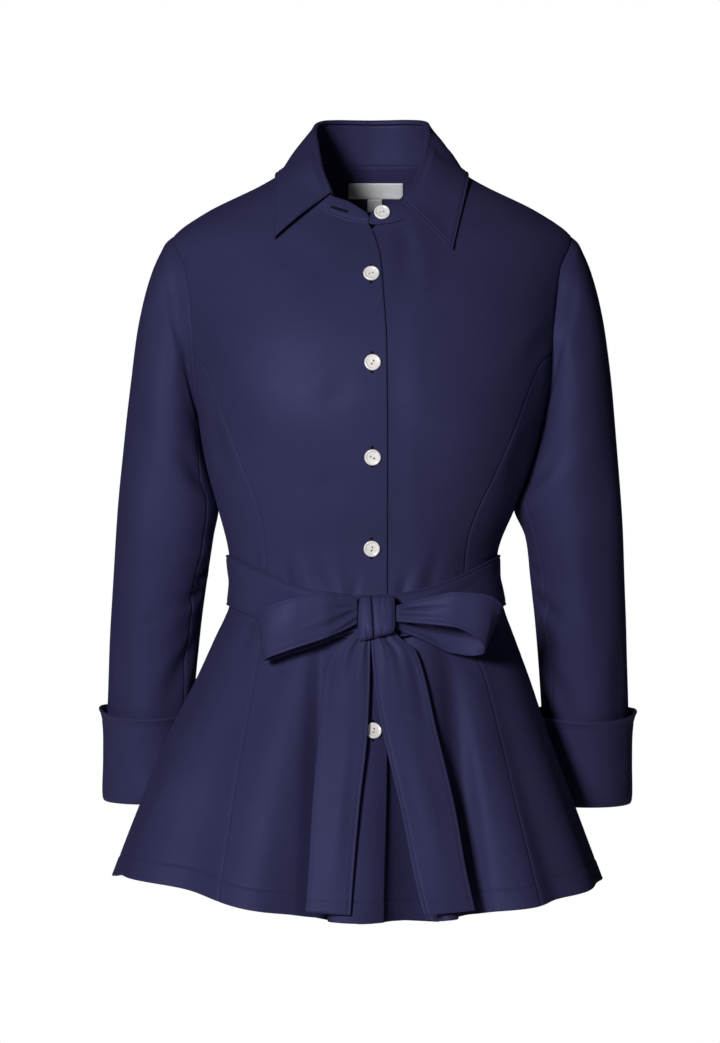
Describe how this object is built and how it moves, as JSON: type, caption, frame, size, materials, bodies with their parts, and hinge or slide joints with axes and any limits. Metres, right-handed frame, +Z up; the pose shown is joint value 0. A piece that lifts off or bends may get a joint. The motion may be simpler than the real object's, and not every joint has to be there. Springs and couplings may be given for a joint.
{
  "type": "belted peplum shirt blouse",
  "caption": "Long-sleeved shirt blouse with pointed collar, princess seams, turned-back cuffs, a flared peplum and its own sash tied in a bow, in hollow worn form",
  "frame": {"origin": "at the base of the neck, level with the shoulders, where the wearer holds the garment up", "axes": "+Z up, along the longest extent; +X the wearer's left; -Y the front"},
  "size_m": [0.5185, 0.4042, 0.7413],
  "materials": {
    "navy_sateen": "cotton sateen with a soft sheen",
    "navy_sateen_double": "doubled cotton sateen with edge stitching",
    "pearl_button": "glossy pearl",
    "label_white": "satin weave"
  },
  "bodies": {
    "root": {"front_centre_right": "navy_sateen", "front_centre_left": "navy_sateen", "front_side_right": "navy_sateen", "front_side_left": "navy_sateen", "back_side_right": "navy_sateen", "back_side_left": "navy_sateen", "back_centre": "navy_sateen", "sleeve_upper_right": "navy_sateen", "sleeve_under_right": "navy_sateen", "sleeve_upper_left": "navy_sateen", "sleeve_under_left": "navy_sateen", "cuff_right": "navy_sateen_double", "cuff_left": "navy_sateen_double", "collar_stand": "navy_sateen_double", "collar_leaf": "navy_sateen_double", "belt": "navy_sateen_double", "knot": "navy_sateen_double", "loop_right": "navy_sateen_double", "loop_left": "navy_sateen_double", "tail_right": "navy_sateen_double", "tail_left": "navy_sateen_double", "button_stand": "pearl_button", "button_1": "pearl_button", "button_2": "pearl_button", "button_3": "pearl_button", "button_4": "pearl_button", "button_5": "pearl_button", "label": "label_white", "size_tab": "label_white"}
  },
  "joints": []
}
